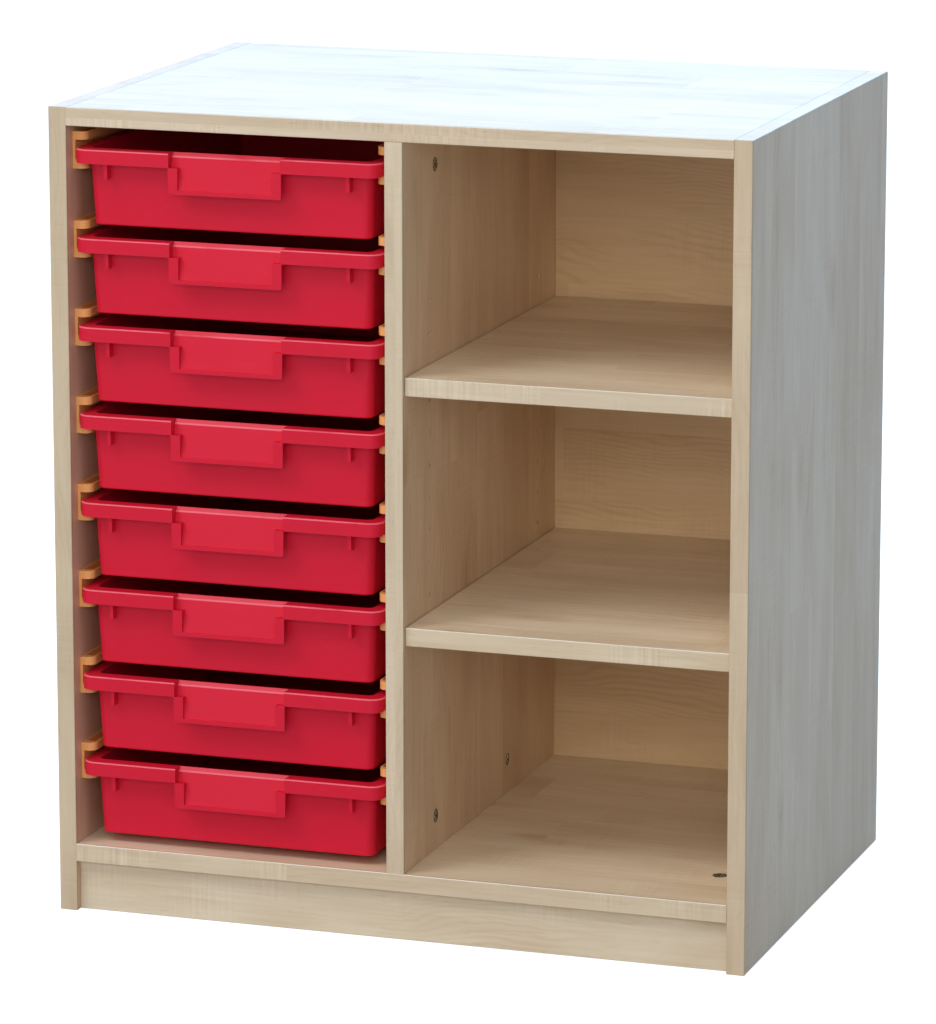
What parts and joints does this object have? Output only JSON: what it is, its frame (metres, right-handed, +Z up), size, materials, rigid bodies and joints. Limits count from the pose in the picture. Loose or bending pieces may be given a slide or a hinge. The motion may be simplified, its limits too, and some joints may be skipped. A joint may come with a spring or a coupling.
{
  "type": "classroom tray storage unit",
  "caption": "Free-standing maple-faced cupboard: one bay of sliding plastic trays on channel runners beside an open bay with adjustable shelves.",
  "frame": {"origin": "on the floor, under the middle of the unit's width and depth", "axes": "+Z up, +Y towards the back panel, -Y out of the open front, +X to the right as seen from the front"},
  "size_m": [0.7, 0.498, 0.798],
  "materials": {
    "maple_board": "satin maple-faced board",
    "maple_back": "satin maple-faced board",
    "maple_edge_band": "satin maple strip",
    "red_tray_plastic": "fine-textured moulded plastic",
    "amber_runner_plastic": "smooth moulded plastic",
    "nickel_fitting": "die-cast, nickel plated",
    "nickel_steel": "nickel plated",
    "zinc_steel": "zinc plated",
    "beech_dowel": "fluted dowel, raw"
  },
  "bodies": {
    "carcass": {"left_side_panel": "maple_board", "right_side_panel": "maple_board", "top_panel": "maple_board", "bottom_panel": "maple_board", "centre_divider": "maple_board", "plinth_board": "maple_board", "rear_plinth_rail": "maple_board", "back_panel": "maple_back", "left_side_edge_band": "maple_edge_band", "right_side_edge_band": "maple_edge_band", "top_edge_band": "maple_edge_band", "bottom_edge_band": "maple_edge_band", "divider_edge_band": "maple_edge_band", "cam_housings": "nickel_fitting", "cam_bolts": "zinc_steel", "dowels": "beech_dowel", "runner_screws": "zinc_steel", "back_panel_screws": "zinc_steel", "lower_shelf_pins": "nickel_steel", "upper_shelf_pins": "nickel_steel", "runner_left_1": "amber_runner_plastic", "runner_right_1": "amber_runner_plastic", "runner_left_2": "amber_runner_plastic", "runner_right_2": "amber_runner_plastic", "runner_left_3": "amber_runner_plastic", "runner_right_3": "amber_runner_plastic", "runner_left_4": "amber_runner_plastic", "runner_right_4": "amber_runner_plastic", "runner_left_5": "amber_runner_plastic", "runner_right_5": "amber_runner_plastic", "runner_left_6": "amber_runner_plastic", "runner_right_6": "amber_runner_plastic", "runner_left_7": "amber_runner_plastic", "runner_right_7": "amber_runner_plastic", "runner_left_8": "amber_runner_plastic", "runner_right_8": "amber_runner_plastic"},
    "tray_1_body": {"tray_1": "red_tray_plastic"},
    "tray_2_body": {"tray_2": "red_tray_plastic"},
    "tray_3_body": {"tray_3": "red_tray_plastic"},
    "tray_4_body": {"tray_4": "red_tray_plastic"},
    "tray_5_body": {"tray_5": "red_tray_plastic"},
    "tray_6_body": {"tray_6": "red_tray_plastic"},
    "tray_7_body": {"tray_7": "red_tray_plastic"},
    "tray_8_body": {"tray_8": "red_tray_plastic"},
    "lower_shelf_body": {"lower_shelf": "maple_board", "lower_shelf_edge_band": "maple_edge_band"},
    "upper_shelf_body": {"upper_shelf": "maple_board", "upper_shelf_edge_band": "maple_edge_band"}
  },
  "joints": [
    {"name": "tray_1_slide", "type": "slide", "parent": "carcass", "child": "tray_1_body", "axis": [0, -1, 0], "range_m": [0, 0.38]},
    {"name": "tray_2_slide", "type": "slide", "parent": "carcass", "child": "tray_2_body", "axis": [0, -1, 0], "range_m": [0, 0.38]},
    {"name": "tray_3_slide", "type": "slide", "parent": "carcass", "child": "tray_3_body", "axis": [0, -1, 0], "range_m": [0, 0.38]},
    {"name": "tray_4_slide", "type": "slide", "parent": "carcass", "child": "tray_4_body", "axis": [0, -1, 0], "range_m": [0, 0.38]},
    {"name": "tray_5_slide", "type": "slide", "parent": "carcass", "child": "tray_5_body", "axis": [0, -1, 0], "range_m": [0, 0.38]},
    {"name": "tray_6_slide", "type": "slide", "parent": "carcass", "child": "tray_6_body", "axis": [0, -1, 0], "range_m": [0, 0.38]},
    {"name": "tray_7_slide", "type": "slide", "parent": "carcass", "child": "tray_7_body", "axis": [0, -1, 0], "range_m": [0, 0.38]},
    {"name": "tray_8_slide", "type": "slide", "parent": "carcass", "child": "tray_8_body", "axis": [0, -1, 0], "range_m": [0, 0.38]},
    {"name": "lower_shelf_slide", "type": "slide", "parent": "carcass", "child": "lower_shelf_body", "axis": [0, -1, 0], "range_m": [0, 0.05]},
    {"name": "upper_shelf_slide", "type": "slide", "parent": "carcass", "child": "upper_shelf_body", "axis": [0, -1, 0], "range_m": [0, 0.05]}
  ]
}
